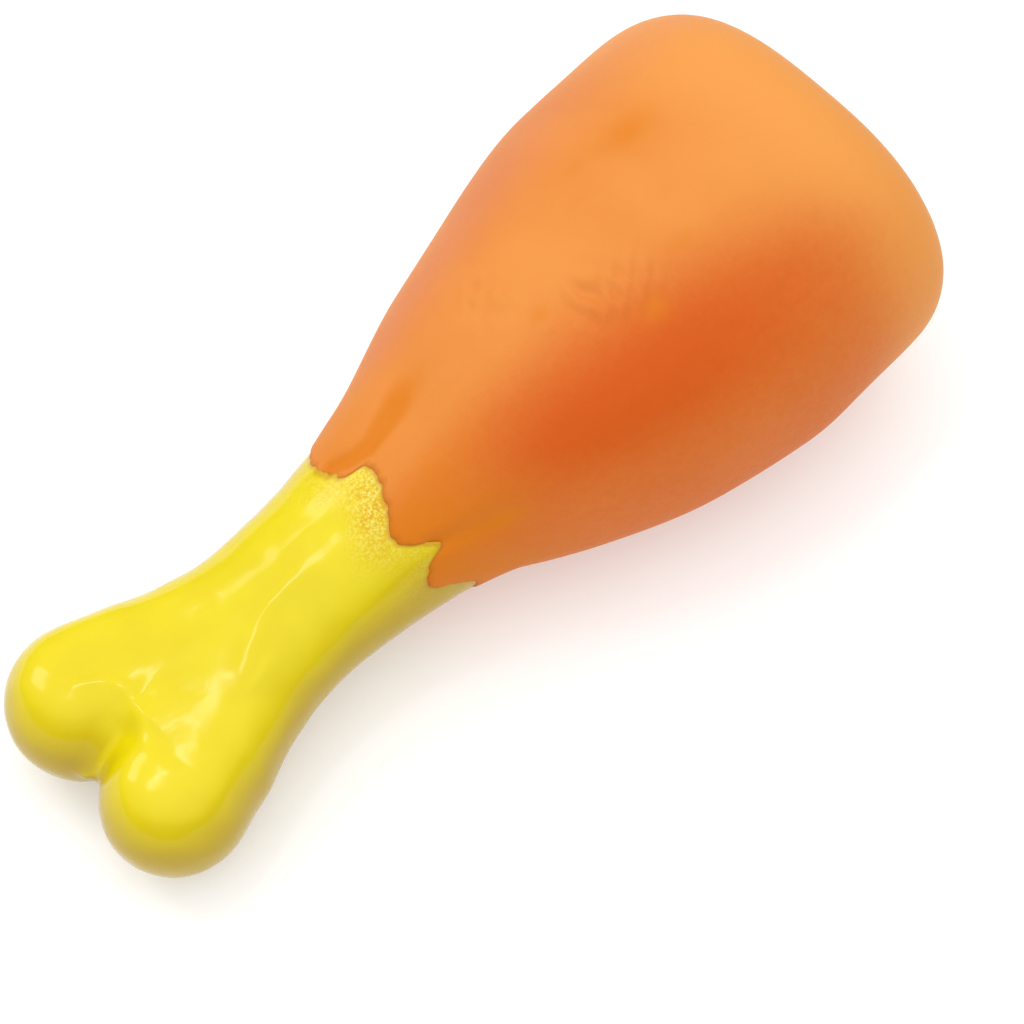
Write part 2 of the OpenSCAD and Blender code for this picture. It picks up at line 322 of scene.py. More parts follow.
def meat_relief(angle, x, points):
    """How far the meat's surface goes in, in millimetres, at points of the plain shape."""
    past = x - edge_at(angle)
    depth, _ = crease_mask(angle, x)
    to_rim = np.clip(1 - past / RIM_ROUNDING, 0, 1)
    rounded = RIM_DROP * (1 - np.sqrt(1 - to_rim ** 2))
    swell = SWELL_HEIGHT * bell((past - SWELL_BEHIND) / SWELL_WIDTH)
    dents = sum(deep * spot(points, centre, sizes) for centre, sizes, deep, _ in DENTS)
    wrinkled = np.clip(sum(spot(points, centre, WRINKLE_SIZE) for centre in WRINKLES), 0, 1)
    fine = WRINKLE_DEPTH * waves(points * WRINKLE_STRETCH, WRINKLE_LENGTH, WRINKLE_SEED) * wrinkled
    pitted = bell((angle - PITS_ANGLE) / PITS_WIDTH) * np.clip((x - PITS_FROM) / PITS_GROW, 0, 1)
    pits = uneven(points, *PITS) * pitted
    broad = uneven(points, *BROAD)
    calm = np.clip((HALF_LENGTH - points[..., 0]) / CALM_LENGTH, 0, 1)
    return depth + rounded - swell + dents + (fine + pits + broad) * calm


def ridges(points):
    """Height of the bone's ridges, in millimetres, on its upper side."""
    height = np.zeros(points.shape[:-1])
    for tall, half_width, line in RIDGES:
        gap, along = off_line(points[..., :2], line)
        ends = ease(np.minimum(along, 1 - along), 0, RIDGE_ENDS)
        height = np.maximum(height, tall * bell(gap / half_width) * ends)
    return height * ease(points[..., 2], *RIDGE_HEIGHTS)


def bone_relief(angle, x, points):
    """How far the bone's surface goes in, in millimetres."""
    before = edge_at(angle) - x
    sunk = STEP * fade(before / SUNK_LENGTH)
    centre, sizes, deep = NOTCH_HOLLOW
    hollow = deep * spot(points, centre, sizes)
    lumps = sum(uneven(points, *lump) for lump in BONE_LUMPS)
    return sunk + hollow + lumps - ridges(points)


# --- Meshes ---------------------------------------------------------------

def mesh_piece(name, points, faces, smooth=True):
    """A mesh object from points in millimetres."""
    mesh = bpy.data.meshes.new(name)
    mesh.from_pydata((np.asarray(points) * MM).tolist(), [], faces)
    mesh.validate()
    mesh.polygons.foreach_set("use_smooth", [smooth] * len(mesh.polygons))
    mesh.update()
    piece = bpy.data.objects.new(name, mesh)
    bpy.context.scene.collection.objects.link(piece)
    return piece


def ring_faces(rows, columns, closed=False, start=0):
    """Quads between neighbouring rings of points; closed joins the last ring to the first."""
    i = np.arange(rows if closed else rows - 1)[:, None]
    j = np.arange(columns)[None, :]
    a = start + i * columns + j
    b = start + i * columns + (j + 1) % columns
    c = start + (i + 1) % rows * columns + (j + 1) % columns
    d = start + (i + 1) % rows * columns + j
    return np.stack([a, b, c, d], axis=-1).reshape(-1, 4).tolist()


def flipped(faces):
    return [face[::-1] for face in faces]


def store(piece, name, kind, values):
    """Writes one value per point to the mesh for its material to read."""
    field = {"FLOAT": "value", "FLOAT_VECTOR": "vector"}[kind]
    attribute = piece.data.attributes.new(name, kind, "POINT")
    attribute.data.foreach_set(field, np.asarray(values, np.float32).ravel())


def upward(piece):
    """How far the surface faces up at each point: the Z of its normal."""
    normals = np.empty(3 * len(piece.data.vertices), np.float32)
    piece.data.vertices.foreach_get("normal", normals)
    return normals[2::3]


ANGLES = np.arange(COLUMNS) * 360.0 / COLUMNS


def row(value):
    return np.full(COLUMNS, float(value))


def skin_row(x, f, depth, relief):
    """A ring of the skin seen from the spine at x along the fan f: its outside with relief where depth
    is 0, and else its inside at that depth."""
    d = across_fan(ANGLES, row(f))
    inset = relief(ANGLES, x, skin_points(x, d, row(0))) if depth == 0 else row(depth)
    return skin_points(x, d, inset)


def meat_row(past, depth):
    """A ring of the meat's skin that starts as its edge, at past = 0, and gets straight towards NOSE."""
    edge = edge_at(ANGLES)
    x = edge + past * (NOSE - edge) / (NOSE - edge.mean())
    return skin_row(x, 90, depth, meat_relief), x


def nose_row(f, depth):
    """A ring of the big end's skin."""
    return skin_row(row(NOSE), f, depth, meat_relief), row(NOSE)


def circle_row(radius, x):
    """A ring round the squeaker's axis."""
    a = np.radians(ANGLES)
    points = np.stack([row(x), radius * np.cos(a), AXIS_Z + radius * np.sin(a)], axis=-1)
    return points, row(NOSE)


SEAT_X = 61.3         # floor of the recess that the squeaker's flange lies in
COLLAR_X = 58.7       # inner end of the thickened wall round the squeaker
RECESS_R = 10.2
BORE_R = 8.0
COLLAR_R = 12.0
RIM_ROUND, RIM_BACK, RIM_ROWS = 0.45, 0.05, 6    # the rounded rim of the recess
NOSE_MARGIN = 1.2     # the big end's skin stops this far outside the recess
# The squeaker's seat, as radius and place along X, with its corners cut by 0.15 to 0.3 mm.
SEAT_OUTLINE = (
    (RECESS_R, SEAT_X + 0.15), (RECESS_R - 0.15, SEAT_X), (BORE_R + 0.2, SEAT_X), (BORE_R, SEAT_X - 0.2),
    (BORE_R, COLLAR_X + 0.2), (BORE_R + 0.2, COLLAR_X), (COLLAR_R - 0.3, COLLAR_X),
    (COLLAR_R, COLLAR_X + 0.3), (COLLAR_R, HALF_LENGTH - WALL - 0.1),
)
# How far the rings close to the meat's edge are from it, then where the even ones start.
EDGE_RINGS, EVEN_FROM = (0, 0.04, 0.12, 0.25, 0.42, 0.62, 0.85, 1.1), 1.5
MEAT_ROWS, NOSE_ROWS = 112, 66
# The same for the inside, and how far round the fan the big end's inside starts.
INNER_MEAT_ROWS, INNER_NOSE_ROWS, INNER_NOSE_F = 40, 22, 36
EDGE_LAP = 0.05       # the meat's edge reaches this far below the bone's surface


def seat_rows():
    """The rim of the squeaker's recess, then its seat."""
    rows = []
    for turn in np.linspace(0, 90, RIM_ROWS):
        rim_r = RECESS_R + RIM_ROUND * (1 - math.sin(math.radians(turn)))
        rim_x = HALF_LENGTH - RIM_BACK - RIM_ROUND * (1 - math.cos(math.radians(turn)))
        rows.append(circle_row(rim_r, rim_x))
    return rows + [circle_row(radius, x) for radius, x in SEAT_OUTLINE]


def build_meat():
    """The whole meat skin: outside, rim and bore for the squeaker, inside, and back to its edge."""
    span = NOSE - edge_at(ANGLES).mean()
    rows = [meat_row(past, 0) for past in [*EDGE_RINGS, *np.linspace(EVEN_FROM, span, MEAT_ROWS)]]
    last_f = math.degrees(math.atan2(RECESS_R + NOSE_MARGIN, HALF_LENGTH - NOSE))
    rows += [nose_row(f, 0) for f in np.linspace(90, last_f, NOSE_ROWS)[1:]]
    outer_rows = len(rows)
    rows += seat_rows()
    rows += [nose_row(f, WALL) for f in np.linspace(INNER_NOSE_F, 90, INNER_NOSE_ROWS)]
    rows += [meat_row(past, WALL) for past in np.linspace(span, 0, INNER_MEAT_ROWS)[1:]]
    rows.append(meat_row(0, STEP + EDGE_LAP))
    points = np.array([points for points, _ in rows])
    points[..., 2] = np.maximum(points[..., 2], 0)
    places = np.array([x for _, x in rows])
    faces = ring_faces(len(rows), COLUMNS, closed=True)
    piece = mesh_piece("meat_skin_cast", points.reshape(-1, 3), faces)
    store_meat_paint(piece, points, places, outer_rows)
    return piece


def store_meat_paint(piece, points, places, outer_rows):
    """Writes to the mesh where the meat's paint differs, with its painted shade and painted sheen; only the
    outer rows are painted.
    """
    angles = np.broadcast_to(ANGLES, places.shape)
    outer = (np.arange(len(places)) < outer_rows)[:, None] * np.ones_like(places)
    _, crease = crease_mask(angles, places)
    along = points[..., 0]
    marks = np.max([thin * spot(points, centre, sizes) for centre, sizes, _, thin in DENTS], axis=0)
    store(piece, "rest_mm", "FLOAT_VECTOR", points.reshape(-1, 3))
    store(piece, "crease", "FLOAT", (crease * outer).ravel())
    store(piece, "from_edge", "FLOAT", (places - edge_at(angles)).ravel())
    # Darker orange: sprayed paint and painted shade on the flank away from the light.
    store(piece, "spray_and_painted_shade", "FLOAT", (spray_and_painted_shade(angles, along) * outer).ravel())
    # Painted sheen: a pinkish tint high on the far flank.
    store(piece, "painted_sheen", "FLOAT", (painted_sheen(angles, along) * outer).ravel())
    store(piece, "marks", "FLOAT", (marks * outer).ravel())


# The darker orange, partly sprayed paint and partly painted shade on the flank turned away from the light,
# in degrees round the toy and millimetres along X. On the near flank it starts at an angle that grows
# outside SPRAY_SPAN, and it has a darker core.
SPRAY_FROM, SPRAY_SOFTNESS, SPRAY_SLANT = 96, 20, 0.8
SPRAY_SPAN, SPRAY_TO = (0, 12), (215, 255)
SPRAY_FADE, SPRAY_LOSS = (40, 60), 0.9    # it thins out towards the big end
FLANK_SHARE = 0.55    # its strength outside the core
CORE_ANGLE, CORE_SLANT, CORE_WIDTH = 132, 0.15, 17
CORE_START, CORE_FADE, CORE_LOSS = (-8, 10), (16, 44), 0.85
FAR_ANGLE, FAR_WIDTH, FAR_START, FAR_SHARE = 316, 22, (-14, 6), 0.5
# Painted sheen: where a pale pinkish reflection is painted on the far flank.
SHEEN_ANGLE, SHEEN_WIDTH = 36, 15
SHEEN_START, SHEEN_FADE, SHEEN_LOSS = (-10, 0), (20, 44), 0.5


def spray_and_painted_shade(angle, along):
    """Where darker orange is painted, partly as spray and partly as painted shade: one flank with a darker
    core, and less of it on the other flank.
    """
    low, high = SPRAY_SPAN
    start = SPRAY_FROM + SPRAY_SLANT * (np.maximum(along - high, 0) + np.maximum(low - along, 0))
    flank = ease(angle, start - SPRAY_SOFTNESS, start + SPRAY_SOFTNESS) * (1 - ease(angle, *SPRAY_TO))
    core = bell((angle - CORE_ANGLE - CORE_SLANT * along) / CORE_WIDTH) * ease(along, *CORE_START)
    core *= 1 - CORE_LOSS * ease(along, *CORE_FADE)
    near = flank * (FLANK_SHARE + (1 - FLANK_SHARE) * core)
    far = FAR_SHARE * bell((angle - FAR_ANGLE) / FAR_WIDTH) * ease(along, *FAR_START)
    return np.maximum(near, far) * (1 - SPRAY_LOSS * ease(along, *SPRAY_FADE))


def painted_sheen(angle, along):
    """Painted sheen: a pale pinkish tint high on the far flank, where light glances off the surface."""
    tint = bell((angle - SHEEN_ANGLE) / SHEEN_WIDTH) * ease(along, *SHEEN_START)
    return tint * (1 - SHEEN_LOSS * ease(along, *SHEEN_FADE))


TIP_F, TIP_ROWS = 179.2, 62    # the rings on the bone's end start this far round the fan
INNER_TIP_F, INNER_TIP_ROWS = 178.0, 20
SHAFT_STEP, INNER_SHAFT_ROWS = 0.4, 30
POLE_ANGLE = 90       # the angle that stands for the two points in the middle of the bone's end
# The bone's sides, where they turn from the light above, get painted shade by these slopes.
SIDE_SLOPES = (0.1, 0.85)    # from sides to top, as the Z of the normal
# The haze of overspray: its least strength, and angle and width of its two patches.
HAZE_LEAST, HAZE_PATCHES = 0.15, ((100, 24), (285, 30))


def tail_row(f, depth):
    """A ring of the skin of the bone's end."""
    return skin_row(row(TAIL), f, depth, bone_relief)


def shaft_row(share, depth, extra=0.0):
    """A ring of the bone's shaft, a share of the way from TAIL to the meat's edge, and extra beyond it."""
    return skin_row(TAIL + (edge_at(ANGLES) - TAIL) * share + extra, 90, depth, bone_relief)


def build_bone():
    """The bone's skin: outside from its end to under the meat's edge, then back along the inside."""
    shaft_rows = int((edge_at(ANGLES).mean() - TAIL) / SHAFT_STEP)
    rows = [tail_row(f, 0) for f in np.linspace(TIP_F, 90, TIP_ROWS)]
    rows += [shaft_row(share, 0) for share in np.linspace(0, 1, shaft_rows)[1:]]
    rows += [shaft_row(1, 0, TUCK), shaft_row(1, WALL, TUCK)]
    rows += [shaft_row(share, WALL) for share in np.linspace(1, 0, INNER_SHAFT_ROWS)]
    rows += [tail_row(f, WALL) for f in np.linspace(90, INNER_TIP_F, INNER_TIP_ROWS)[1:]]
    points = np.array(rows)
    points[..., 2] = np.maximum(points[..., 2], 0)
    poles = [points[0].mean(axis=0), points[-1].mean(axis=0)]
    flat = np.vstack([points.reshape(-1, 3), poles])
    outer_pole, inner_pole = len(flat) - 2, len(flat) - 1
    last = outer_pole - COLUMNS
    faces = ring_faces(len(rows), COLUMNS)
    for j in range(COLUMNS):
        k = (j + 1) % COLUMNS
        faces.append([outer_pole, k, j])
        faces.append([inner_pole, last + j, last + k])
    piece = mesh_piece("bone_skin_cast", flat, faces)
    angles = np.concatenate([np.tile(ANGLES, len(rows)), [POLE_ANGLE, POLE_ANGLE]])
    haze = np.max([bell((angles - angle) / width) for angle, width in HAZE_PATCHES], axis=0)
    store(piece, "rest_mm", "FLOAT_VECTOR", flat)
    store(piece, "to_edge", "FLOAT", edge_at(angles) - flat[:, 0])
    # Painted shade on the bone's sides, stronger where the surface faces less upward.
    store(piece, "painted_side_shade", "FLOAT", 1 - ease(upward(piece), *SIDE_SLOPES))
    store(piece, "overspray", "FLOAT", HAZE_LEAST + (1 - HAZE_LEAST) * haze)
    return piece


def rounded_outline(corners, radius, steps=4):
    """A closed outline with every corner rounded, by at most a third of its shorter side."""
    corners = [Vector(c) for c in corners]
    out = []
    for i, corner in enumerate(corners):
        to_last = corners[i - 1] - corner
        to_next = corners[(i + 1) % len(corners)] - corner
        cut = min(radius, to_last.length / 3, to_next.length / 3)
        a = corner + to_last.normalized() * cut
        b = corner + to_next.normalized() * cut
        for k in range(steps + 1):
            t = k / steps
            out.append(a * (1 - t) ** 2 + corner * 2 * t * (1 - t) + b * t * t)
    return out


def lathe(name, corners, radius, segments=144):
    """A ring-shaped solid turned round the squeaker's axis from an outline of radius and place along X."""
    outline = rounded_outline(corners, radius)
    turn = np.arange(segments) * 2 * math.pi / segments
    rows = [np.stack([np.full(segments, p.y), p.x * np.cos(turn), AXIS_Z + p.x * np.sin(turn)], axis=-1)
            for p in outline]
    faces = flipped(ring_faces(len(rows), segments, closed=True))
    return mesh_piece(name, np.concatenate(rows), faces)


PLATE_X = 60.3
FACE_X = SEAT_X + 1.2
FLANGE_R = 9.9
AIR_R = 1.5
SOCKET_R, SOCKET_OUT_R = 3.0, 4.2
SOCKET_END = 47.7
CORNER_R = 0.15
# The squeaker's outline, as radius and place along X: its face with two raised rings, the snap rim
# behind the wall, the skirt and the socket.
SQUEAKER_OUTLINE = (
    (AIR_R, PLATE_X), (AIR_R, FACE_X - 0.9), (AIR_R + 0.9, FACE_X - 0.15), (3.6, FACE_X - 0.15),
    (3.9, FACE_X - 0.45), (7.0, FACE_X - 0.45), (7.3, FACE_X - 0.1), (FLANGE_R - 0.4, FACE_X - 0.1),
    (FLANGE_R, FACE_X - 0.5), (FLANGE_R, SEAT_X), (BORE_R, SEAT_X), (BORE_R, COLLAR_X),
    (BORE_R + 0.8, COLLAR_X), (BORE_R - 0.6, COLLAR_X - 1.6), (BORE_R - 1.6, COLLAR_X - 1.6),
    (BORE_R - 1.6, PLATE_X), (SOCKET_OUT_R, PLATE_X), (SOCKET_OUT_R, SOCKET_END),
    (SOCKET_R, SOCKET_END), (SOCKET_R, PLATE_X),
)


def build_squeaker():
    """The moulded squeaker: a flange with two raised rings, a snap rim, a skirt and the reed's socket."""
    return lathe("squeaker_disc_moulded", SQUEAKER_OUTLINE, CORNER_R)


CLAMP_X, TIP_X, ROOT_X = 55.7, 48.7, 59.7
REED_W, REED_T = 3.6, 0.15
REED_OPEN = math.radians(3)
REED_CURVE = 1.6      # power of the blade's curve: 1 would be straight
REED_ROWS = 40
REED_TIP_R = 1.0      # rounding of the tip's corners
REED_CHAMFER = 0.03


def build_reed():
    """The reed: flat in its clamp, then a blade that curves up off the half plug, with a rounded tip."""
    x = np.linspace(ROOT_X, TIP_X, REED_ROWS)
    free = np.clip((CLAMP_X - x) / (CLAMP_X - TIP_X), 0, 1)
    lift = (CLAMP_X - TIP_X) * math.sin(REED_OPEN) * free ** REED_CURVE
    to_tip = np.clip((x - TIP_X) / REED_TIP_R, 0, 1)
    half = REED_W / 2 - REED_TIP_R * (1 - np.sqrt(np.maximum(1 - (1 - to_tip) ** 2, 0)))
    rings = []
    for place, up, wide in zip(x, lift, half):
        low, high = AXIS_Z - REED_T / 2 + up, AXIS_Z + REED_T / 2 + up
        low_side, high_side = low + REED_CHAMFER, high - REED_CHAMFER
        inner = wide - REED_CHAMFER
        rings.append([
            (place, -wide, low_side), (place, -inner, low), (place, inner, low), (place, wide, low_side),
            (place, wide, high_side), (place, inner, high), (place, -inner, high), (place, -wide, high_side),
        ])
    corners = len(rings[0])
    points = np.array(rings).reshape(-1, 3)
    faces = ring_faces(REED_ROWS, corners)
    faces += [list(range(corners))[::-1], list(range((REED_ROWS - 1) * corners, REED_ROWS * corners))]
    return mesh_piece("reed_leaf", points, flipped(faces), smooth=False)


# --- Materials ------------------------------------------------------------

def srgb(red, green, blue):
    """A colour from 8-bit sRGB values."""
    def linear(value):
        value /= 255
        return value / 12.92 if value <= 0.04045 else ((value + 0.055) / 1.055) ** 2.4
    return (linear(red), linear(green), linear(blue), 1.0)


MEAT_COAT = (srgb(213, 129, 52), srgb(218, 136, 58))
MEAT_NOSE = srgb(224, 147, 68)
# Pinkish painted sheen.
MEAT_SHEEN_PINK = srgb(206, 118, 92)
# Darker orange: sprayed paint and painted shade.
MEAT_SPRAY_SHADE = srgb(202, 84, 3)
MEAT_THIN = srgb(208, 116, 2)
# Pooled paint and painted shade along the meat's edge.
MEAT_RIM_POOL_SHADE = srgb(186, 106, 14)
BONE_TOP = (srgb(221, 202, 8), srgb(216, 196, 4))
# Painted shade on the bone's sides.
BONE_SIDE_SHADE = srgb(176, 144, 3)
HAZE_DARK, HAZE_PALE = srgb(212, 142, 22), srgb(236, 220, 150)
# Orange paint and painted shade where the bone runs under the meat's edge.
BONE_EDGE_PAINT_SHADE = srgb(190, 128, 14)
SQUEAKER_WHITE = (srgb(240, 240, 234), srgb(232, 232, 225))
PLUG_WHITE = (srgb(236, 236, 230), srgb(226, 226, 219))
REED_AMBER = (srgb(214, 168, 96), srgb(188, 136, 66))
PAPER = ((0.68, 0.68, 0.675, 1), (0.70, 0.70, 0.695, 1))
PAPER_GLOW = 0.32     # keeps the floor near white, as in a shadowless studio


class Surface:
    """A node material that is built up step by step."""

    def __init__(self, name):
        self.material = bpy.data.materials.new(name)
        self.material.use_nodes = True
        self.tree = self.material.node_tree
        self.shader = self.tree.nodes["Principled BSDF"]

    def set(self, **values):
        for name, value in values.items():
            self.shader.inputs[name.replace("_", " ")].default_value = value

    def link(self, output, target):
        self.tree.links.new(output, target)

    def feed(self, value, socket):
        """Links an output to a socket, or sets the socket to a plain value."""
        if isinstance(value, bpy.types.NodeSocket):
            self.link(value, socket)
        else:
            socket.default_value = value

    def node(self, kind, **inputs):
        made = self.tree.nodes.new(kind)
        for name, value in inputs.items():
            self.feed(value, made.inputs[name.replace("_", " ")])
        return made

    def field(self, name, vector=False):
        made = self.tree.nodes.new("ShaderNodeAttribute")
        made.attribute_name = name
        return made.outputs["Vector" if vector else "Fac"]

    def object_place(self):
        made = self.tree.nodes.new("ShaderNodeTexCoord")
        return made.outputs["Object"]

    def noise(self, vector, scale, detail=3.0, roughness=0.5):
        return self.node("ShaderNodeTexNoise", Vector=vector, Scale=scale, Detail=detail,
                         Roughness=roughness).outputs["Fac"]

    def math(self, operation, a, b=0.0, clamp=False):
        made = self.tree.nodes.new("ShaderNodeMath")
        made.operation = operation
        made.use_clamp = clamp
        for socket, value in zip(made.inputs, (a, b)):
            self.feed(value, socket)
        return made.outputs[0]

    def span(self, value, low, high, out_low=0.0, out_high=1.0):
        """value from low..high to out_low..out_high, smoothly and clamped."""
        made = self.tree.nodes.new("ShaderNodeMapRange")
        made.interpolation_type = "SMOOTHSTEP"
        self.link(value, made.inputs["Value"])
        ends = (("From Min", low), ("From Max", high), ("To Min", out_low), ("To Max", out_high))
        for name, number in ends:
            made.inputs[name].default_value = number
        return made.outputs["Result"]

    def mix(self, factor, a, b):
        made = self.tree.nodes.new("ShaderNodeMix")
        made.data_type = "RGBA"
        for name, value in (("Factor_Float", factor), ("A_Color", a), ("B_Color", b)):
            self.feed(value, next(s for s in made.inputs if s.identifier == name))
        return next(s for s in made.outputs if s.identifier == "Result_Color")

    def bump(self, height, distance, strength=1.0, normal=None):
        made = self.node("ShaderNodeBump", Height=height, Distance=distance, Strength=strength)
        if normal is not None:
            self.link(normal, made.inputs["Normal"])
        return made.outputs["Normal"]


def dress(piece, material):
    piece.data.materials.clear()
    piece.data.materials.append(material)


def meat_material():
    """Matt orange paint on vinyl: a light coat, paler at the big end, with a pinkish painted sheen, darker
    orange that is partly sprayed paint and partly painted shade, a thin darker edge line of pooled paint and
    painted shade, and thin ochre paint near the edge, in the creases and in the dents."""
    s = Surface("meat_matt_orange")
    place = s.field("rest_mm", vector=True)
    from_edge = s.field("from_edge")
    spray_shade = s.field("spray_and_painted_shade")
    mottle = s.noise(place, 0.8, 4.0, 0.6)
    speckle = s.noise(place, 3.4, 3.0, 0.65)
    cloud = s.noise(place, 0.07, 3.0)
    colour = s.mix(s.span(cloud, 0.3, 0.7), *MEAT_COAT)
    along = s.node("ShaderNodeSeparateXYZ", Vector=place).outputs["X"]
    colour = s.mix(s.span(along, 34.0, 54.0), colour, MEAT_NOSE)
    # Painted sheen: a pinkish tint where light glances off the far flank.
    colour = s.mix(s.math("MULTIPLY", s.field("painted_sheen"), 0.42), colour, MEAT_SHEEN_PINK)
    mottled = s.math("MULTIPLY", s.math("SUBTRACT", mottle, 0.5), 0.16)
    dusty = s.math("MULTIPLY", s.math("SUBTRACT", speckle, 0.5), 0.12)
    # Darker orange, partly sprayed paint and partly painted shade on the flank turned from the light.
    grainy = s.math("MULTIPLY", s.math("ADD", mottled, dusty), s.span(spray_shade, 0.0, 0.3))
    spray_shade = s.math("ADD", spray_shade, grainy)
    colour = s.mix(s.span(spray_shade, 0.0, 1.0), colour, MEAT_SPRAY_SHADE)
    near_edge = s.span(from_edge, 2.0, 17.0, 1.0, 0.0)
    sprayed = s.math("MAXIMUM", s.math("MULTIPLY", spray_shade, 1.8, clamp=True), 0.3)
    thin = s.math("MULTIPLY", s.math("MULTIPLY", near_edge, sprayed), 0.9)
    thin = s.math("MAXIMUM", thin, s.math("MULTIPLY", s.span(s.field("crease"), 0.1, 0.9), 0.9))
    thin = s.math("MAXIMUM", thin, s.math("MULTIPLY", s.field("marks"), 0.65))
    colour = s.mix(thin, colour, MEAT_THIN)
    # A thin darker line of pooled paint and painted shade along the meat's edge.
    ragged = s.math("ADD", from_edge, s.math("MULTIPLY", s.math("SUBTRACT", speckle, 0.5), 1.6))
    rim_pool_shade = s.span(ragged, 0.1, 0.9, 1.0, 0.0)
    colour = s.mix(s.math("MULTIPLY", rim_pool_shade, 0.5), colour, MEAT_RIM_POOL_SHADE)
    s.link(colour, s.shader.inputs["Base Color"])
    rough = s.span(s.noise(place, 1.6, 4.0, 0.65), 0.25, 0.75, 0.48, 0.62)
    s.link(rough, s.shader.inputs["Roughness"])
    s.set(Specular_IOR_Level=0.2, Subsurface_Weight=0.1, Subsurface_Radius=(1.0, 0.35, 0.12),
          Subsurface_Scale=0.001)
    fine = s.bump(s.noise(place, 4.5, 4.0, 0.6), 0.00004, 0.45)
    s.link(s.bump(s.noise(place, 0.7, 3.0), 0.0001, 0.3, fine), s.shader.inputs["Normal"])
    return s.material


def bone_material():
    """Glossy yellow vinyl with painted shade on its sides, where they face away from the light above, a
    grainy haze of overspray beside the meat's edge, and orange paint with painted shade where it runs under
    that edge.
    """
    s = Surface("bone_gloss_yellow")
    place = s.field("rest_mm", vector=True)
    to_edge = s.field("to_edge")
    cloud = s.noise(place, 0.12, 3.0)
    specks = s.noise(place, 2.8, 3.0, 0.75)
    patch = s.noise(place, 0.5, 3.0)
    colour = s.mix(s.span(cloud, 0.3, 0.7), *BONE_TOP)
    # Painted shade on the sides that face away from the light above.
    colour = s.mix(s.math("MULTIPLY", s.field("painted_side_shade"), 0.85), colour, BONE_SIDE_SHADE)
    near = s.math("ADD", to_edge, s.math("MULTIPLY", s.math("SUBTRACT", patch, 0.5), -4.0))
    haze = s.math("MULTIPLY", s.span(near, 0.8, 7.5, 1.0, 0.0), s.field("overspray"))
    dark = s.math("MULTIPLY", haze, s.span(specks, 0.46, 0.6))
    pale = s.math("MULTIPLY", haze, s.span(specks, 0.5, 0.36))
    colour = s.mix(s.math("MULTIPLY", dark, 0.85), colour, HAZE_DARK)
    colour = s.mix(s.math("MULTIPLY", pale, 0.75), colour, HAZE_PALE)
    # Orange paint and painted shade in a thin line where the bone runs under the meat's edge.
    grain = s.math("MULTIPLY", s.math("SUBTRACT", specks, 0.5), 1.2)
    edge_paint_shade = s.span(s.math("ADD", to_edge, grain), 0.0, 0.7, 1.0, 0.0)
    colour = s.mix(s.math("MULTIPLY", edge_paint_shade, 0.6), colour, BONE_EDGE_PAINT_SHADE)
    s.link(colour, s.shader.inputs["Base Color"])
    gloss = s.span(s.noise(place, 0.8, 4.0), 0.3, 0.7, 0.11, 0.17)
    sheen = s.math("ADD", s.math("MULTIPLY", haze, 0.3), gloss)
    s.link(sheen, s.shader.inputs["Roughness"])
    s.set(Specular_IOR_Level=0.3, Subsurface_Weight=0.12, Subsurface_Radius=(1.0, 0.8, 0.1),
          Subsurface_Scale=0.0012)
    soft = s.bump(s.noise(place, 0.35, 3.0), 0.0002, 0.25)
    s.link(s.bump(s.math("MULTIPLY", specks, haze), 0.00012, 0.6, soft), s.shader.inputs["Normal"])
    return s.material


def moulded_material(name, light, dark, roughness):
    """Plain moulded plastic with faint flow marks."""
    s = Surface(name)
    place = s.object_place()
    flow = s.noise(place, 260.0, 4.0, 0.6)
    s.link(s.mix(s.span(flow, 0.3, 0.7), light, dark), s.shader.inputs["Base Color"])
    rough = s.span(s.noise(place, 900.0, 3.0), 0.3, 0.7, roughness, roughness + 0.12)
    s.link(rough, s.shader.inputs["Roughness"])
    s.set(Specular_IOR_Level=0.5, Subsurface_Weight=0.1, Subsurface_Radius=(1.0, 0.95, 0.9),
          Subsurface_Scale=0.0008)
    s.link(s.bump(s.noise(place, 1800.0, 3.0), 0.00002, 0.4), s.shader.inputs["Normal"])
    return s.material


def reed_material():
    """Thin amber plastic with grain along the blade."""
    s = Surface("reed_amber")
    place = s.object_place()
    streaks = s.node("ShaderNodeMapping", Vector=place, Scale=(300.0, 4000.0, 4000.0)).outputs["Vector"]
    grain = s.noise(streaks, 1.0, 3.0)
    s.link(s.mix(s.span(grain, 0.3, 0.7), *REED_AMBER), s.shader.inputs["Base Color"])
    s.link(s.span(grain, 0.3, 0.7, 0.28, 0.4), s.shader.inputs["Roughness"])
    s.link(s.bump(grain, 0.00001, 0.5), s.shader.inputs["Normal"])
    return s.material


def floor_material():
    """Seamless white paper."""
    s = Surface("floor_paper")
    place = s.object_place()
    tone = s.noise(place, 9.0, 3.0)
    s.link(s.mix(tone, *PAPER), s.shader.inputs["Base Color"])
    s.set(Roughness=0.85, Specular_IOR_Level=0.2, Emission_Color=(1, 1, 1, 1),
          Emission_Strength=PAPER_GLOW)
    s.link(s.bump(s.noise(place, 700.0, 3.0), 0.00004, 0.3), s.shader.inputs["Normal"])
    return s.material


# --- Camera, lights and floor ---------------------------------------------

VIEW_AZIMUTH = math.radians(-43.5)
VIEW_ELEVATION = math.radians(61.0)
VIEW_ROLL = math.radians(0.8)
VIEW_DISTANCE = 380 * MM
VIEW_AIM = Vector((0, 0, 15)) * MM
# The toy sits up and to the left of the picture's middle by this much.
AIM_RIGHT = 6.6 * MM
AIM_DOWN = 6.6 * MM
LENS, SENSOR = 108.9, 36
CLIP_START = 0.01
# Each light: azimuth from +X towards +Y and elevation in degrees, distance, size, power.
LIGHTS = {
    "overhead": (97, 76, 0.60, (0.20, 0.05), 0.22),
    "window": (112, 44, 0.60, (0.20, 0.22), 0.5),
}
WORLD_LOW, WORLD_HIGH = 0.25, 1.65    # the surroundings' strength at the horizon and overhead
FLOOR_HALF = 3.0


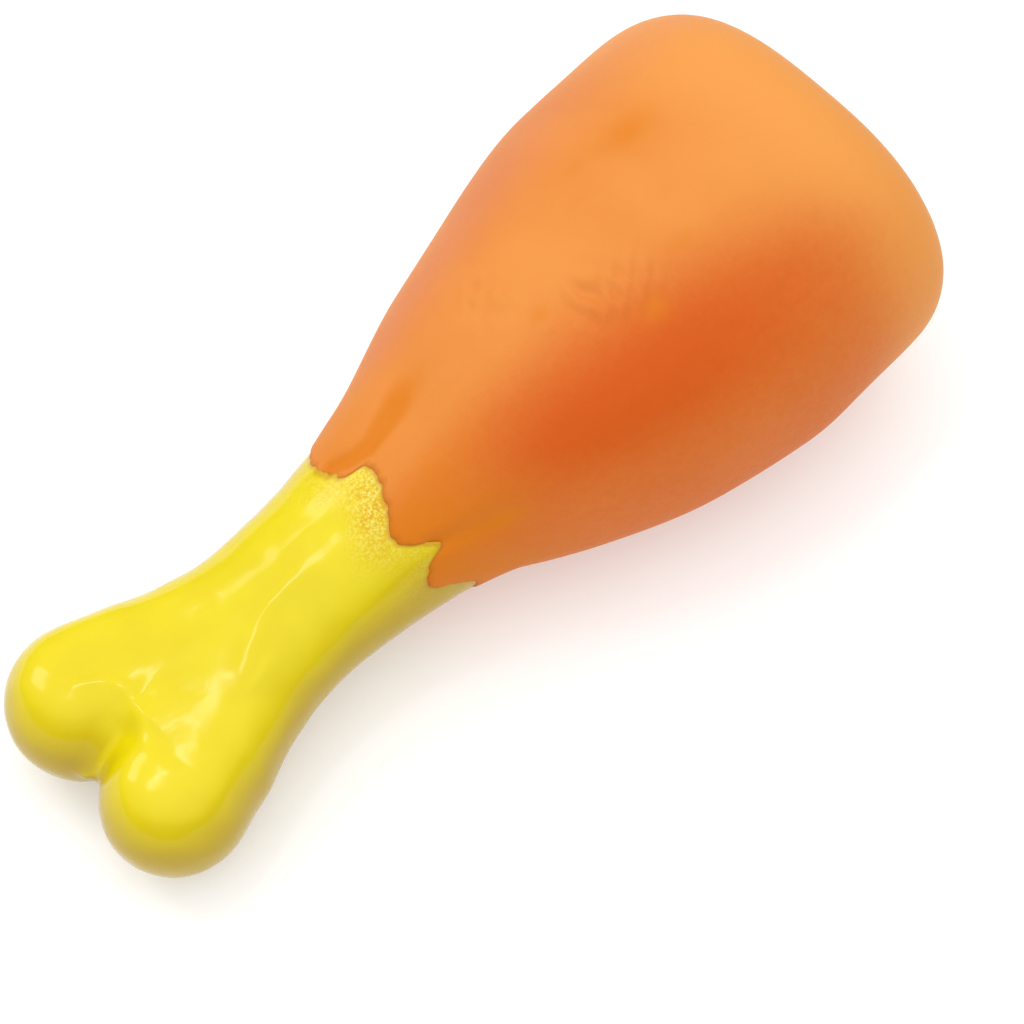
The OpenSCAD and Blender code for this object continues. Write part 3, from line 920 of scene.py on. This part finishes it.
def add_camera():
    data = bpy.data.cameras.new("camera")
    data.lens = LENS
    data.sensor_width = SENSOR
    data.clip_start = CLIP_START
    camera = bpy.data.objects.new("camera", data)
    back = Vector((math.sin(VIEW_AZIMUTH) * math.cos(VIEW_ELEVATION),
                   -math.cos(VIEW_AZIMUTH) * math.cos(VIEW_ELEVATION), math.sin(VIEW_ELEVATION)))
    right = Vector((math.cos(VIEW_AZIMUTH), math.sin(VIEW_AZIMUTH), 0))
    up = back.cross(right)
    turned_right = right * math.cos(VIEW_ROLL) + up * math.sin(VIEW_ROLL)
    turned_up = back.cross(turned_right)
    place = VIEW_AIM + turned_right * AIM_RIGHT - turned_up * AIM_DOWN + back * VIEW_DISTANCE
    axes = Matrix((turned_right, turned_up, back)).transposed().to_4x4()
    camera.matrix_world = Matrix.Translation(place) @ axes
    bpy.context.scene.collection.objects.link(camera)
    bpy.context.scene.camera = camera


def add_light(name, azimuth, elevation, distance, size, power):
    """A soft rectangular light that faces the toy."""
    data = bpy.data.lights.new(name, "AREA")
    data.shape = "RECTANGLE"
    data.size, data.size_y = size
    data.energy = power
    light = bpy.data.objects.new(name, data)
    a, e = math.radians(azimuth), math.radians(elevation)
    way = Vector((math.cos(a) * math.cos(e), math.sin(a) * math.cos(e), math.sin(e)))
    light.location = way * distance
    light.rotation_euler = way.to_track_quat("Z", "Y").to_euler()
    bpy.context.scene.collection.objects.link(light)


def add_world():
    """Plain white surroundings that get brighter with height."""
    world = bpy.data.worlds.new("studio")
    world.use_nodes = True
    nodes, links = world.node_tree.nodes, world.node_tree.links
    coordinates = nodes.new("ShaderNodeTexCoord")
    height = nodes.new("ShaderNodeSeparateXYZ")
    ramp = nodes.new("ShaderNodeMapRange")
    for name, value in (("From Min", 0.0), ("From Max", 1.0), ("To Min", WORLD_LOW), ("To Max", WORLD_HIGH)):
        ramp.inputs[name].default_value = value
    links.new(coordinates.outputs["Generated"], height.inputs["Vector"])
    links.new(height.outputs["Z"], ramp.inputs["Value"])
    links.new(ramp.outputs["Result"], nodes["Background"].inputs["Strength"])
    nodes["Background"].inputs["Color"].default_value = (1, 1, 1, 1)
    bpy.context.scene.world = world


def add_floor():
    mesh = bpy.data.meshes.new("floor")
    corners = [(x * FLOOR_HALF, y * FLOOR_HALF, 0) for x, y in ((-1, -1), (1, -1), (1, 1), (-1, 1))]
    mesh.from_pydata(corners, [], [(0, 1, 2, 3)])
    floor = bpy.data.objects.new("floor", mesh)
    bpy.context.scene.collection.objects.link(floor)
    dress(floor, floor_material())


# --- The toy --------------------------------------------------------------

bpy.context.scene.view_settings.view_transform = "Standard"
add_camera()
add_world()
for name, light in LIGHTS.items():
    add_light(name, *light)
add_floor()

white = moulded_material("squeaker_white", *SQUEAKER_WHITE, 0.28)
plug_white = moulded_material("plug_white", *PLUG_WHITE, 0.4)

meat = build_meat()
dress(meat, meat_material())
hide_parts("meat_skin", "squeeze_panel")
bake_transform(meat)

bone = build_bone()
dress(bone, bone_material())
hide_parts("bone_skin")
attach(bone, "skin")

squeaker = build_squeaker()
dress(squeaker, white)
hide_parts("squeaker_disc")
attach(squeaker, "skin")

reed = build_reed()
dress(reed, reed_material())
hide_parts("reed_strip")
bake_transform(reed)

for name in ("reed_shallot", "reed_wedge"):
    dress(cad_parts[name], plug_white)
